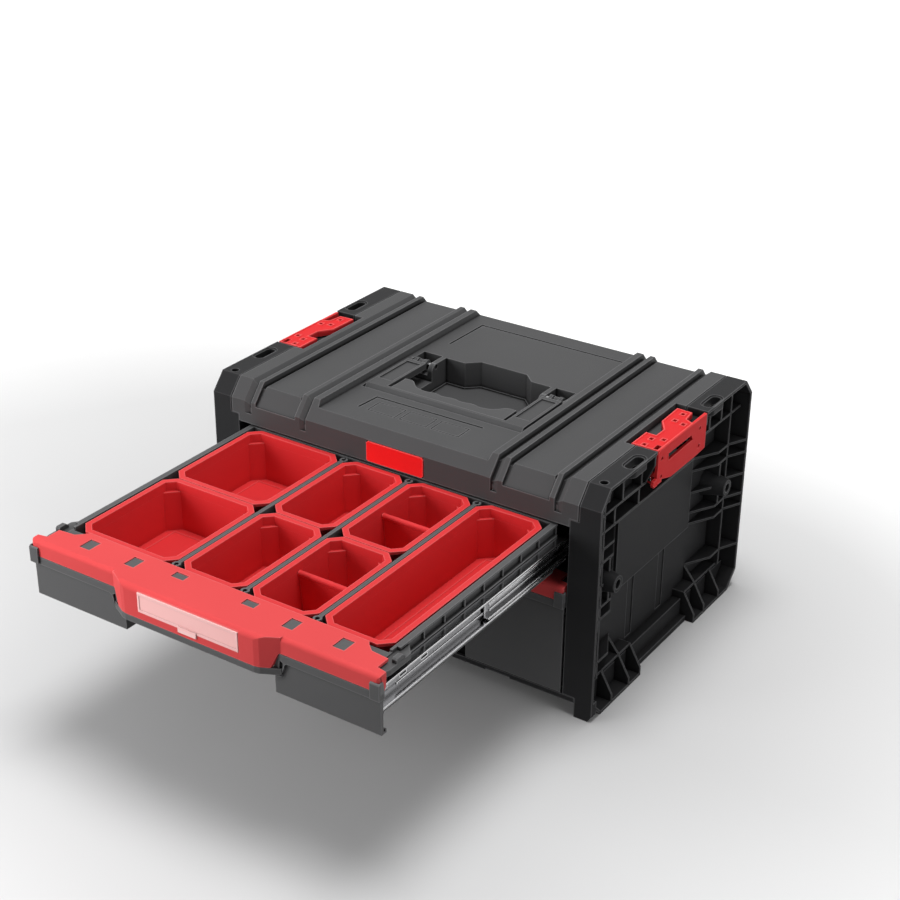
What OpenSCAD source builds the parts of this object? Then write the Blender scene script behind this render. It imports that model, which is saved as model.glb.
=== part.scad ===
// Stackable toolbox with two drawers on ball slides, a fold-down carry handle and two stacking latches.
// X runs to the right seen from the front, Y to the back, Z up. The upper drawer is drawn fully open, and
// the origin is on the floor below the middle of the whole part. Each module draws round the middle of the
// case, and placed() moves it to the origin.

/* [Case] */
// Width of the case
case_w = 450; // [440:1:470]
// Depth of the case, front to back
case_d = 310; // [300:1:330]
// Height of the case
case_h = 244; // [240:1:260]
// Wall thickness of the case mouldings
wall = 3; // [2.5:0.1:3.5]
// Thickness of the ribs on the side panels
rib_t = 2.4; // [1.8:0.1:3]
// Width of each front pillar beside the drawers
pillar_w = 32; // [31:0.5:36]
// Width of the top strip of each side panel
strip_w = 22.6; // [22:0.1:24]
// Depth of the cover's front and rear skirts below the top
skirt_h = 42; // [41:0.5:44]
// Height of the shoulder on the pillars below the top
shoulder_h = 34; // [33:0.5:36]
// Run of the bevel along the top edges, front to back
bevel_y = 15.5; // [12:0.5:18]
// Drop of the bevel along the top edges
bevel_z = 18; // [14:0.5:20]
// Height of the base plate's underside above the floor
base_z = 15.5; // [14:0.5:18]

/* [Side panels] */
// Depth of the recess in the middle of a side panel
recess_depth = 26; // [22:0.5:27]
// Depth at which the ribs of the front and rear columns lie
column_depth = 10; // [7:0.5:13]
// Half length of the deep middle recess
recess_half = 79; // [70:1:84]
// Distance of the columns' inner edge from the middle
column_in = 109; // [102:1:112]
// Distance of the columns' outer edge from the middle
column_out = 131; // [125:1:136]
// Distance of the feet's inner ends from the middle
foot_in = 57; // [52:1:62]
// Distance of the stacking bosses from the middle
boss_y = 115; // [112:1:120]
// Height of the stacking bosses
boss_z = 133; // [128:1:140]
// Radius of the hole in a stacking boss
boss_bore_r = 4.8; // [4:0.1:5.2]

/* [Drawers] */
// Distance that a drawer travels
travel = 285; // [240:1:290]
// Gap between a drawer front and the pillar beside it
front_gap = 2.5; // [1.5:0.1:3]
// Distance of the upper drawer's cap below the top of the case
drawer_top = 43.5; // [43:0.1:45]
// Height of the upper drawer from its bottom edge to the top of its cap
upper_h = 57.2; // [54:0.1:57.5]
// Height of the lower drawer's bottom edge
lower_z = 21.8; // [21.6:0.1:23]
// Gap between the two drawers
drawer_gap = 5; // [4:0.1:6]
// Wall thickness of a drawer tray
tray_wall = 2.5; // [2:0.1:3]
// Distance of a shut tray's rear wall from the rear of the case
tray_back = 22.5; // [21:0.5:30]
// Half width of the grip's front face
grip_half = 71; // [60:1:80]
// How far the grip stands in front of the drawer
grip_out = 12; // [8:0.5:14]
// Half width of the label window
window_half = 55; // [40:1:60]
// Height of the label window
window_h = 19; // [15:0.5:20]

/* [Slides] */
// Height of the slide member on a drawer
slide_h = 23.2; // [22:0.1:23.6]
// Distance of the slide's middle below the top of the drawer's cap
slide_drop = 25.5; // [25.5:0.1:27]
// Sheet thickness of the slide rails
slide_t = 1.2; // [1:0.1:1.4]
// Distance of the case slide member's rear end from the rear of the case
slide_back = 9; // [8:0.5:20]

/* [Bins] */
// Width of a narrow bin
bin_w = 71; // [68:0.5:71.5]
// Gap between the bins and the side walls of the tray
bin_side = 2; // [1.5:0.1:3]
// Width of the lane between two columns of bins
lane = 6; // [5.5:0.1:7]
// Width of a bin's rim
rim_w = 5.5; // [4.5:0.1:6]
// Cut across the corners of a bin
bin_corner = 10.5; // [9:0.5:12]
// Gap between two bins in one column
bin_gap = 1; // [0.8:0.1:2]

/* [Handle and latches] */
// Half width of the carry handle
handle_half = 92.5; // [88:0.5:93]
// Width of each handle arm
arm_w = 22.5; // [20:0.5:23]
// Distance of the handle's front edge from the middle
handle_front = 77; // [70:0.5:80]
// Depth of the handle's pivot behind the middle
pivot_y = 8; // [7:0.5:10]
// Radius of the handle's pivot pins
pin_r = 2.5; // [2:0.1:3]
// Half length of a stacking latch
latch_half = 50; // [46:0.5:50]
// Radius of the latch pins
latch_pin_r = 1.8; // [1.5:0.1:2]

/* [Clearances] */
// Gap left between pieces that seat on each other
seat = 0.3; // [0.2:0.05:0.4]
// Radial clearance of a pin in its bore
pin_gap = 0.06; // [0.03:0.01:0.1]

/* [Hidden] */
$fn = 40;

// colours
graphite = [0.27, 0.27, 0.28];
signal_red = [0.80, 0.14, 0.14];
bin_red = [0.78, 0.16, 0.16];
zinc = [0.78, 0.78, 0.80];
pale_pink = [0.98, 0.75, 0.75];
card_white = [0.95, 0.93, 0.92];

// case, worked out from the driving sizes
hw = case_w / 2;
hd = case_d / 2;
open_hw = hw - pillar_w;
seam = 0.4;
cover_seam = 1.1;
cover_hw = hw - strip_w - cover_seam;
strip_x = hw - strip_w;
shoulder_z = case_h - shoulder_h;
skirt_z = case_h - skirt_h;
web_x = hw - recess_depth;
column_x = hw - column_depth;
in_hd = hd - wall;
base_top = base_z + wall;
base_lip_z = base_top + 2.5;
panel_z = base_lip_z + seat;
foot_x = hw - 19;
upper_z = case_h - drawer_top - upper_h;
lower_h = upper_z - drawer_gap - lower_z;
tray_len = case_d - tray_back;
bevel_angle = atan2(bevel_z, bevel_y);
clip_out = 1.2;
// the case stands this far behind the middle of the whole part, whose upper drawer is open
shift_y = (travel + grip_out + clip_out) / 2;

// closed outline of the case seen from the side, as y and z
function side_outline() = [
  [-hd + bevel_z, 0], [hd - bevel_z, 0], [hd, bevel_z], [hd, case_h - bevel_z],
  [hd - bevel_y, case_h], [-hd + bevel_y, case_h], [-hd, case_h - bevel_z], [-hd, bevel_z]];

// crossing point of two lines, each given by a point and a direction
function crossing(p, u, q, v) = p + u * (cross(q - p, v) / cross(u, v));
function left_of(u) = [-u.y, u.x];
function unit(v) = v / norm(v);
// outline moved inwards by d, for points that run anticlockwise
function inset(pts, d) = let (n = len(pts)) [
  for (i = [0 : n - 1])
    let (b = pts[i], u = unit(b - pts[(i + n - 1) % n]), v = unit(pts[(i + 1) % n] - b))
      crossing(b + left_of(u) * d, u, b + left_of(v) * d, v)];

// extrusion of a y and z outline from x0 to x1
module along_x(x0, x1) {
  translate([x0, 0, 0]) rotate([90, 0, 90]) linear_extrude(x1 - x0) children();
}
// extrusion of an x and z outline from y0 to y1
module along_y(y0, y1) {
  translate([0, y1, 0]) rotate([90, 0, 0]) linear_extrude(y1 - y0) children();
}
module box(low, high) {
  translate(low) cube(high - low);
}
module placed() {
  translate([0, shift_y, 0]) children();
}
module on_both_sides() {
  children();
  mirror([1, 0, 0]) children();
}

// side panel, drawn for the right side
latch_bay_half = latch_half + 2;
latch_floor_z = case_h - 8;
latch_pin_x = hw - 8.5;
latch_pin_z = case_h - 33;
lug_y = latch_half - 21;
lug_t = 8;
foot_lip_x = hw - 9;
foot_shelf = 33;
foot_top = 49;
field_low = boss_z - 36;
band_low = case_h - 54;
band_high = case_h - 36;
rib_levels = [foot_top, field_low, boss_z - 23, boss_z, boss_z + 25, band_low - 18];
field_out = 2.8;
sunk_strips = [[-45, -33], [19, 31]];
strip_low = panel_z + wall + 3;
slot_x = hw - 8;
slot_len = 27;
slot_r = 5;
slot_ys = [-82, 76.5];
collar_r = 7.4;
collar_h = 10;
rim_sink = 1;
screw_x = hw - 11;
screw_y = -hd + 22;
screw_hole_r = 4;
screw_seat_z = case_h - 12;
upper_slide_z = upper_z + upper_h - slide_drop;
lower_slide_z = lower_z + lower_h - slide_drop;
slide_back_x = open_hw - slide_t;

// outer edge of the ribs seen from above, from the web out to the corner of the case
function column_plan() = [
  [web_x - 1, recess_half], [web_x, recess_half], [column_x, column_in], [column_x, column_out],
  [hw, in_hd], [hw, in_hd + wall / 2], [web_x - 1, in_hd + wall / 2]];
// outer edge of a foot gusset seen from the front
function gusset_plan(top) = [
  [web_x - 1, panel_z], [foot_x + wall, panel_z], [foot_x + wall, wall - 1], [hw, wall - 1], [hw, 10],
  [column_x - 3, foot_shelf], [web_x, top], [web_x - 1, top]];

module front_and_rear() {
  children();
  mirror([0, 1, 0]) children();
}

module side_shell() {
  // rim round the outline
  difference() {
    along_x(strip_x, hw) polygon(side_outline());
    along_x(strip_x - 1, hw + 1) polygon(inset(side_outline(), wall));
    // clear of the base plate, and of the foot gap
    box([strip_x - 1, -hd - 1, -1], [foot_x, hd + 1, panel_z]);
    box([foot_lip_x, -foot_in, -1], [hw + 1, foot_in, wall + 3]);
  }
  // pillar faces, front and rear
  front_and_rear() box([open_hw, -hd, panel_z], [strip_x + 1, -in_hd, shoulder_z - seat]);
  // inner edge of the pillar, and web
  front_and_rear() box([open_hw, -hd, panel_z], [open_hw + wall, -hd + 24, shoulder_z - seat]);
  box([web_x - wall, -in_hd - 1, panel_z], [web_x, in_hd + 1, shoulder_z - seat]);
  box([open_hw, -in_hd - 1, shoulder_z - seat - wall], [strip_x + wall, in_hd + 1, shoulder_z - seat]);
  // upper wall beside the cover
  along_x(strip_x, strip_x + wall) intersection() {
    polygon(inset(side_outline(), wall / 2));
    translate([-hd, shoulder_z - seat - wall]) square([case_d, case_h]);
  }
  // step down to the feet
  box([web_x - wall, -in_hd - 1, panel_z], [foot_x + wall, in_hd + 1, panel_z + wall]);
  along_x(foot_x, foot_x + wall) intersection() {
    polygon(inset(side_outline(), wall / 2));
    translate([-hd, 0]) square([case_d, panel_z + wall]);
  }
  // pillar foot with its cut corner
  along_y(-hd, -hd + 9) polygon([[foot_x, 0], [hw - 4, 0], [hw, 6], [hw, 20], [foot_x, 20]]);
  // lip between the feet
  box([foot_x + 1, -foot_in - 1, 0], [foot_lip_x, foot_in + 1, 6]);
}

module side_ribs() {
  // level ribs of the front and rear columns
  front_and_rear() for (z = rib_levels) {
    translate([0, 0, z]) linear_extrude(rib_t) polygon(column_plan());
  }
  // upright at the outer side of each column, clear of the cover above the shoulder
  front_and_rear() {
    box([web_x - 1, column_out - rib_t, foot_shelf], [column_x, column_out, shoulder_z - seat]);
    box([strip_x + 1, column_out - rib_t, shoulder_z - 1], [column_x, column_out, case_h - 15]);
    // rib through the stacking boss
    box([web_x - 1, boss_y - rib_t / 2, boss_z - 23], [column_x, boss_y + rib_t / 2, boss_z + 25]);
  }
  // two bands below the top strip, open at the latch
  box([web_x - 1, -in_hd - 1, band_low], [column_x, 50, band_low + rib_t]);
  front_and_rear() box([strip_x + 1, latch_bay_half, band_high], [column_x, in_hd + 1, band_high + rib_t]);
  for (y = [-98, -62, 79, 106])
    box([strip_x + 1, y, band_high], [column_x, y + rib_t, case_h - 1]);
  for (y = [-112, -66])
    box([web_x - 1, y, band_low], [column_x, y + rib_t, band_high + 1]);
  // ends of the latch bay
  front_and_rear() along_y(latch_bay_half, latch_bay_half + rib_t)
    polygon([[strip_x + 1, band_high], [column_x, band_high], [hw - 1, latch_floor_z - 6],
      [hw - 1, case_h - 1], [strip_x + 1, case_h - 1]]);
  // raised bare field in the middle
  box([web_x - 1, -recess_half + 2, field_low], [web_x + field_out, recess_half - 2, band_low + 1]);
  // feet: gussets, end walls and top shelf
  front_and_rear() {
    along_y(foot_in, foot_in + rib_t) polygon(gusset_plan(foot_shelf));
    along_y(recess_half + 1, recess_half + 1 + rib_t) polygon(gusset_plan(foot_top));
    along_y(boss_y - 1, boss_y - 1 + rib_t) polygon(gusset_plan(foot_shelf));
    box([web_x - 1, foot_in, foot_shelf - rib_t], [column_x - 3, column_out, foot_shelf]);
  }
}

module stacking_boss() {
  rotate([0, 90, 0]) cylinder(h = hw - web_x + 0.5, r1 = 14.5, r2 = 8.4);
}
// slot in the top strip, widened to r
module strap_slot(r, h) {
  hull() for (s = [-1, 1]) translate([0, s * (slot_len / 2 - slot_r), 0]) cylinder(h = h, r = r);
}

module side_panel() {
  difference() {
    union() {
      side_shell();
      side_ribs();
      front_and_rear() translate([web_x - 1, boss_y, boss_z]) stacking_boss();
      // bosses of the case screw
      translate([screw_x, screw_y, case_h - 18]) cylinder(h = 17, r = 6.2);
      // mounting bars of the two slides
      for (z = [upper_slide_z, lower_slide_z])
        box([slide_back_x + seat, -in_hd + 22, z - 7], [web_x - wall + 1, in_hd - 22, z + 7]);
      // collars of the strap slots
      for (y = slot_ys) translate([slot_x, y, case_h - collar_h]) strap_slot(collar_r, collar_h - 1);
      // floor of the latch bay, and the two pin lugs
      box([strip_x, -latch_bay_half - 1, latch_floor_z - wall],
        [hw - 6, latch_bay_half + 1, latch_floor_z]);
      front_and_rear() translate([0, lug_y, 0]) {
        box([strip_x + 1, 0, latch_pin_z - 4], [latch_pin_x, lug_t, latch_pin_z + 4]);
        translate([latch_pin_x, lug_t, latch_pin_z]) rotate([90, 0, 0]) cylinder(h = lug_t, r = 4);
      }
    }
    // latch bay
    box([strip_x - 1, -latch_bay_half, latch_floor_z], [hw + 1, latch_bay_half, case_h + 1]);
    // slots in the top strip
    for (y = slot_ys) {
      translate([slot_x, y, case_h - collar_h - 1]) strap_slot(slot_r, collar_h + 3);
      translate([slot_x, y, case_h - rim_sink]) strap_slot(collar_r - 0.4, rim_sink + 1);
    }
    // shallow upright strips sunk into the web below the middle field
    for (strip = sunk_strips)
      box([web_x - 1, strip[0], strip_low], [web_x + 1, strip[1], field_low]);
    // hole and seat of the case screw
    translate([screw_x, screw_y, screw_seat_z]) cylinder(h = 20, r = screw_hole_r);
    translate([screw_x, screw_y, case_h - 30]) cylinder(h = 30, r = 2.1);
    // bores of the stacking bosses
    front_and_rear() translate([web_x + 2, boss_y, boss_z]) rotate([0, 90, 0])
      cylinder(h = 40, r = boss_bore_r);
    // bore of the latch pin
    translate([latch_pin_x, latch_half, latch_pin_z]) rotate([90, 0, 0])
      cylinder(h = 2 * latch_half, r = latch_pin_r + pin_gap);
  }
}

// top cover
panel_depth = 6.5;
flat_depth = 4.5;
gutter_depth = 6.8;
centre_half = 98.5;
ceiling_z = case_h - 9.5;
pocket_z = case_h - 35.5;
pocket_half = 63.5;
pocket_step = 1.6;
pocket_back = 26.5;
bump_half = 27.5;
bump_back = 38.5;
handle_gap = 2.2;
ear_r = 8;
centre_z = case_h - panel_depth;
// bare L-shaped lines and three bare frames on the centre field, as x and y
rear_line = [[-81, 60], [-80, 121.5], [92, 121.5]];
front_line = [[-68, -119], [-66, -92], [57, -91]];
frame_xs = [[-57, -24.5], [-19.5, 12], [17.5, 49.5]];
frame_ys = [-121, -100.5];
line_w = 2.4;
line_depth = 1.1;
frame_w = 1;
bay_z = case_h - 24;
socket_z = case_h - 18;
socket_back = 27.5;
handle_top = case_h - 4;
handle_t = 7;
arm_in = handle_half - arm_w;
pivot_z = handle_top - 6;
pin_half_len = 13.5;
arm_mid = handle_half - arm_w / 2;
label_half = 33;
label_low = skirt_z + 1.5;
label_high = case_h - 19.4;

// cut that follows the cover's skin over the rear face, rear bevel, top, front bevel and front face
module skin_cut(x_depths, end_z) {
  over = 5;
  bevel_len = norm([bevel_y, bevel_z]);
  translate([0, 0, case_h]) along_y(-hd + bevel_y - over, hd - bevel_y + over) polygon(x_depths[0]);
  front_and_rear() {
    translate([0, -hd, case_h - bevel_z]) rotate([bevel_angle, 0, 0])
      along_y(-over / 2, bevel_len + over / 2) polygon(x_depths[1]);
    if (end_z > 0) translate([0, -hd, end_z]) rotate([90, 0, 0])
      along_y(0, case_h - bevel_z - end_z + over / 2) polygon(x_depths[2]);
  }
}
// groove with a steep inner wall and a slope on its outer side
function groove(x0, x1, depth) = [
  [x0, 1], [x0, 0], [x0 + 0.8, -depth], [x0 + 2, -depth], [x1, 0], [x1, 1]];
// flat with a gutter along each side
function flat_field(x0, x1) = [
  [x0, 1], [x0, -gutter_depth], [x0 + 2.6, -gutter_depth], [x0 + 3.4, -flat_depth],
  [x1 - 3.4, -flat_depth], [x1 - 2.6, -gutter_depth], [x1, -gutter_depth], [x1, 1]];
function shallow_field(x0, x1, depth) = [[x0, 1], [x0, -depth], [x1, -depth], [x1, 1]];
// sections of a groove on the top, the bevel and the front face, each a nip narrower than the last
nip = 0.15;
function wrapped_groove(xs) = [for (i = [0 : 2]) groove(xs[0] + i * nip, xs[1] - i * nip, 6 - 2 * i)];

inner_groove = [107.2, 115.6];
field = [120.6, 170.8];
outer_groove = [175.8, 185];
groove_end_z = skirt_z + 11;

// finger pocket seen from above
function pocket_plan() = [
  [-pocket_half, -62], [pocket_half, -62], [pocket_half, pocket_back], [40, pocket_back],
  [bump_half, bump_back], [-bump_half, bump_back], [-40, pocket_back], [-pocket_half, pocket_back]];

// groove of width line_w along a bent line
module line_cut(pts) {
  for (i = [0 : len(pts) - 2]) hull() for (p = [pts[i], pts[i + 1]])
    translate([p.x, p.y, centre_z - line_depth]) cylinder(h = 2, r = line_w / 2, $fn = 12);
}
module frame_cut(xs, ys) {
  difference() {
    box([xs[0], ys[0], centre_z - line_depth], [xs[1], ys[1], centre_z + 1]);
    box([xs[0] + frame_w, ys[0] + frame_w, centre_z - line_depth - 1],
      [xs[1] - frame_w, ys[1] - frame_w, centre_z + 2]);
  }
}

module cover_shell() {
  difference() {
    along_x(-cover_hw, cover_hw) intersection() {
      polygon(side_outline());
      translate([-hd, skirt_z]) square([case_d, skirt_h]);
    }
    // hollow below
    along_x(-cover_hw + wall, cover_hw - wall) polygon([
      [-in_hd, skirt_z - 1], [in_hd, skirt_z - 1], [in_hd, case_h - bevel_z - 7],
      [hd - bevel_y, ceiling_z], [-hd + bevel_y, ceiling_z], [-in_hd, case_h - bevel_z - 7]]);
    // side skirts stop at the shoulder of the pillars
    on_both_sides() box([open_hw - seam, -hd - 1, skirt_z - 1], [hw, hd + 1, shoulder_z]);
    // sunk centre field
    along_y(-hd + bevel_y - 8, hd - bevel_y + 8) translate([0, case_h]) polygon([
      [-centre_half - 1.5, 1], [-centre_half - 1.5, 0], [-centre_half, -panel_depth],
      [centre_half, -panel_depth], [centre_half + 1.5, 0], [centre_half + 1.5, 1]]);
    on_both_sides() {
      skin_cut(wrapped_groove(inner_groove), groove_end_z);
      skin_cut(wrapped_groove(outer_groove), groove_end_z);
      skin_cut([flat_field(field[0], field[1]), shallow_field(field[0] + nip, field[1] - nip, 3)], 0);
    }
  }
}

module cover_handle_bay() {
  // tub of the finger pocket, cut out with the pocket later
  translate([0, 0, pocket_z - wall]) linear_extrude(ceiling_z - pocket_z + wall + 1)
    polygon(inset(pocket_plan(), -wall));
  // thicker roof round the handle
  box([-handle_half - 6, -handle_front - 6, bay_z - wall],
    [handle_half + 6, socket_back + wall, ceiling_z + 1]);
}

module handle_lug(x, half_t) {
  translate([x - half_t, 0, 0]) {
    translate([0, pivot_y, pivot_z]) rotate([0, 90, 0]) cylinder(h = 2 * half_t, r = 4.2);
    box([0, pivot_y - 4.2, socket_z - 1], [2 * half_t, pivot_y + 4.2, pivot_z]);
  }
}

module top_cover() color(graphite) placed() {
  difference() {
    union() {
      cover_shell();
      cover_handle_bay();
    }
    // pocket with a step round its floor, handle bay and hinge sockets
    translate([0, 0, pocket_z + pocket_step]) linear_extrude(40) polygon(pocket_plan());
    translate([0, 0, pocket_z]) linear_extrude(40) polygon(inset(pocket_plan(), pocket_step));
    box([-handle_half - handle_gap, -handle_front - handle_gap, bay_z],
      [handle_half + handle_gap, 0, case_h]);
    on_both_sides() box([arm_in - 1, -1, socket_z], [handle_half - 1, socket_back, case_h]);
    // bores of the handle pins, open into the pocket
    on_both_sides() translate([pocket_half - 1, pivot_y, pivot_z]) rotate([0, 90, 0])
      cylinder(h = arm_mid + pin_half_len - pocket_half + 1, r = pin_r + pin_gap);
    // rounded front corners of the walls between pocket and sockets
    on_both_sides() along_x(pocket_half - 1, arm_in - 0.5) difference() {
      translate([-1, centre_z - ear_r]) square([ear_r + 1, ear_r + 1]);
      translate([ear_r, centre_z - ear_r]) circle(r = ear_r);
    }
    line_cut(rear_line);
    line_cut(front_line);
    for (xs = frame_xs) frame_cut(xs, frame_ys);
    // inner part of the two latch bays
    on_both_sides() box([cover_hw - 11, -latch_bay_half, latch_floor_z],
      [hw, latch_bay_half, case_h + 1]);
    // seat of the label plate
    box([-label_half - seat, -hd - 1, label_low - seat], [label_half + seat, -hd + 1, label_high + seat]);
  }
  // lug between the handle's eyes
  on_both_sides() difference() {
    handle_lug(arm_mid, 2.4);
    translate([arm_mid - 5, pivot_y, pivot_z]) rotate([0, 90, 0]) cylinder(h = 10, r = pin_r + pin_gap);
  }
}

module base_plate() color(graphite) placed() {
  base_hw = foot_x - seam;
  pitch_x = (open_hw - 43) / 2;
  pitch_y = (hd - 45) / 2;
  difference() {
    union() {
      box([-base_hw, -hd, base_z], [base_hw, hd, base_top]);
      // front rail, and the side edges that carry the panels
      box([-base_hw, -hd, base_z], [base_hw, -hd + wall, base_lip_z]);
      on_both_sides() box([open_hw + 1, -hd, base_z], [base_hw, hd, base_lip_z]);
      // stiffening ribs underneath
      for (i = [-2 : 2]) {
        box([-base_hw + 8, i * pitch_y - rib_t / 2, base_z - 5],
          [base_hw - 8, i * pitch_y + rib_t / 2, base_z + 1]);
        box([i * pitch_x - rib_t / 2, -hd + 20, base_z - 5], [i * pitch_x + rib_t / 2, hd - 20, base_z + 1]);
      }
    }
    // finger notches in the front rail
    for (x = [-1.6, 1.6]) translate([x * pitch_x, 0, 0])
      box([-14, -hd - 1, base_z - 1], [14, -hd + 1.5, base_z + 1.5]);
  }
}

module rear_panel() color(graphite) placed() {
  rear_hw = open_hw - seam;
  pitch = (open_hw - 45) / 2;
  difference() {
    box([-rear_hw, in_hd, base_top + seat], [rear_hw, hd, skirt_z - seat]);
    // sunk fields between the uprights
    for (i = [-2 : 2]) box([i * pitch - 32, hd - 1.2, base_top + 16],
      [i * pitch + 32, hd + 1, skirt_z - 18]);
  }
  // ribs on the inside
  for (i = [-2 : 2]) box([i * pitch - rib_t / 2, in_hd - 4, base_top + 6],
    [i * pitch + rib_t / 2, in_hd + 1, skirt_z - 8]);
}

module front_label_plate() color(signal_red) placed() {
  translate([0, -hd + 1 - seat, 0]) rotate([90, 0, 0]) linear_extrude(2 - seat) {
    corner = 2.5;
    difference() {
      translate([-label_half, label_low]) square([2 * label_half, label_high - label_low]);
      for (x = [-1, 1], z = [0, 1]) translate([x * label_half, z ? label_high : label_low])
        rotate(45) square(corner, center = true);
    }
  }
}

module handle_pins() color(zinc) placed() {
  on_both_sides() translate([arm_mid - pin_half_len + seat, pivot_y, pivot_z]) rotate([0, 90, 0])
    cylinder(h = 2 * (pin_half_len - seat), r = pin_r);
}

module latch_pin() {
  translate([latch_pin_x, latch_half - 1, latch_pin_z]) rotate([90, 0, 0])
    cylinder(h = 2 * latch_half - 2, r = latch_pin_r);
}

module case_screws() color(zinc) placed() {
  on_both_sides() translate([screw_x, screw_y, screw_seat_z + seat]) difference() {
    union() {
      cylinder(h = 2.6, r = 3.6);
      translate([0, 0, -10]) cylinder(h = 11, r = 1.9);
    }
    for (a = [0, 90]) rotate(a) box([-2.2, -0.5, 1.4], [2.2, 0.5, 3]);
  }
}

// slides, drawn for the right side with their middle at z 0 and y along the travel: the channel on the
// drawer holds the middle channel, and that holds the one on the case
slide_in_x = open_hw - 13.7;
inner_tip_x = slide_in_x + 8.6;
middle_back_x = slide_in_x + slide_t + 1.6;
middle_tip_x = inner_tip_x - 0.5;
outer_tip_x = middle_back_x + slide_t + 1.6;
ball_gap = 1.9;
ball_r = ball_gap / 2 - seat;
ball_pitch = 24;
cage_t = 0.6;
middle_h = slide_h - 2 * (slide_t + ball_gap);
outer_h = middle_h - 2 * (slide_t + ball_gap);
bead_w = 3;
bead_out = 1.3;
slide_len = case_d - 17 - slide_back;
outer_y0 = -hd + 17;
middle_y0 = outer_y0 + 1;
middle_len = slide_len - 4;
inner_y0 = 3;
// the stop ends 1 mm in front of the middle rail, which stands furthest forward when the drawer is shut
stop_y = middle_y0 + hd - inner_y0 - 8;
inner_len = tray_len - inner_y0 + 2;

// open channel whose back stands at x_back and whose lips point to x_tip
module channel(x_back, x_tip, h, lip) {
  s = sign(x_tip - x_back);
  difference() {
    translate([min(x_back, x_tip), -h / 2]) square([abs(x_tip - x_back), h]);
    translate([min(x_back + s * slide_t, x_tip + s), -h / 2 + slide_t])
      square([abs(x_tip + s - x_back - s * slide_t), h - 2 * slide_t]);
  }
  for (t = [-1, 1]) translate([x_tip - (s > 0 ? slide_t : 0), t > 0 ? h / 2 - slide_t - lip : -h / 2 + slide_t])
    square([slide_t, lip]);
}
// two raised beads along a channel's back
module beads(x, h, y0, y1) {
  for (s = [-1, 1]) along_y(y0, y1) translate([x, s * h / 6]) polygon([
    [-0.1, -bead_w / 2], [bead_out, -bead_w / 2 + 0.5], [bead_out, bead_w / 2 - 0.5],
    [-0.1, bead_w / 2]]);
}

module outer_rail(z) {
  translate([0, 0, z]) difference() {
    along_y(outer_y0, outer_y0 + slide_len) channel(open_hw - slide_t, outer_tip_x, outer_h, 0.6);
    for (y = [30, slide_len / 2, slide_len - 30]) translate([slide_back_x - 3, outer_y0 + y, 0])
      rotate([0, 90, 0]) cylinder(h = 6, r = 2.2);
  }
}
module middle_rail(z, y) {
  translate([0, y, z]) {
    along_y(0, middle_len) channel(middle_back_x, middle_tip_x, middle_h, 0.5);
    beads(middle_back_x + slide_t, middle_h - 2, 6, middle_len - 6);
  }
}
// one row of balls in its cage, above and below the rail inside it
module ball_row(x, h, y0, y1) {
  for (s = [-1, 1]) translate([0, 0, s * (h + ball_gap) / 2]) {
    box([x - 1.5, y0, -cage_t / 2], [x + 1.5, y1, cage_t / 2]);
    for (y = [y0 + 4 : ball_pitch : y1 - 2]) translate([x, y, 0]) sphere(r = ball_r, $fn = 16);
  }
}
// the cages ride on the middle rail: its front half runs in the drawer's channel, and its rear half holds
// the case's channel
module ball_cages(z, y) {
  translate([0, y, z]) {
    ball_row(outer_tip_x + 0.7, outer_h, middle_len / 2 + 14, middle_len - 12);
    ball_row(middle_tip_x - 2.4, middle_h, 10, middle_len / 2 - 16);
  }
}
module inner_rail(z, y) {
  translate([0, y + inner_y0, z]) {
    difference() {
      union() {
        along_y(0, inner_len) channel(slide_in_x, inner_tip_x, slide_h, 0.5);
        beads(slide_in_x + slide_t, slide_h, 30, inner_len - 8);
      }
      // slots for the mounting screws and the release lever
      for (y0 = [9, 36, 66, inner_len * 0.7]) box([slide_in_x - 1, y0, -1.3], [slide_in_x + 3, y0 + 9, 1.3]);
    }
    // stop that the middle rail meets when the drawer is shut
    box([slide_in_x + slide_t - 0.1, stop_y, 3.2],
      [slide_in_x + slide_t + 4, stop_y + 7, slide_h / 2 - slide_t + 0.1]);
  }
}

// drawer, with its front plane at y 0 and its bottom edge at z 0
front_hw = open_hw - front_gap;
tray_out = slide_in_x - seat - 3;
tray_in = tray_out - tray_wall;
floor_z = 4;
well_front = 31;
gap_half = 83;
plate_t = 2.5;
cap_t = 2.5;
skirt_drop = 15.5;
border_out = 2.6;
border_h = 7.6;
nib_w = 8.5;
grip_drop = 29.8;
lip_h = 6;
tab_xs = [139.5, 87, 38.8];
tab_w = [12, 11.4, 14];
tab_y = [[12, 27], [12, 26.5], [20, 28.5]];
rail_pad = slide_in_x - seat;
grip_side = 21;
grip_back = 3;
tab_gap = 0.5;

// grip seen from above, its face at y front and its ends on the drawer front
function grip_plan(front, back, wide) = let (half = [
  [grip_half + wide, front], [grip_half + 5 + wide, front + 1.2], [grip_half + 13 + wide, front + 5.4],
  [grip_half + grip_side + wide, front + grip_out - 2.4], [grip_half + grip_side + wide, back]])
  concat(half, [for (i = [len(half) - 1 : -1 : 0]) [-half[i].x, half[i].y]]);
// x of the grip's slanted side edge at height z below the top of the cap
function grip_edge(z) = gap_half + 0.5 + (grip_drop + 1 - z) * 6.5 / (grip_drop + 1 - skirt_drop);

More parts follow.
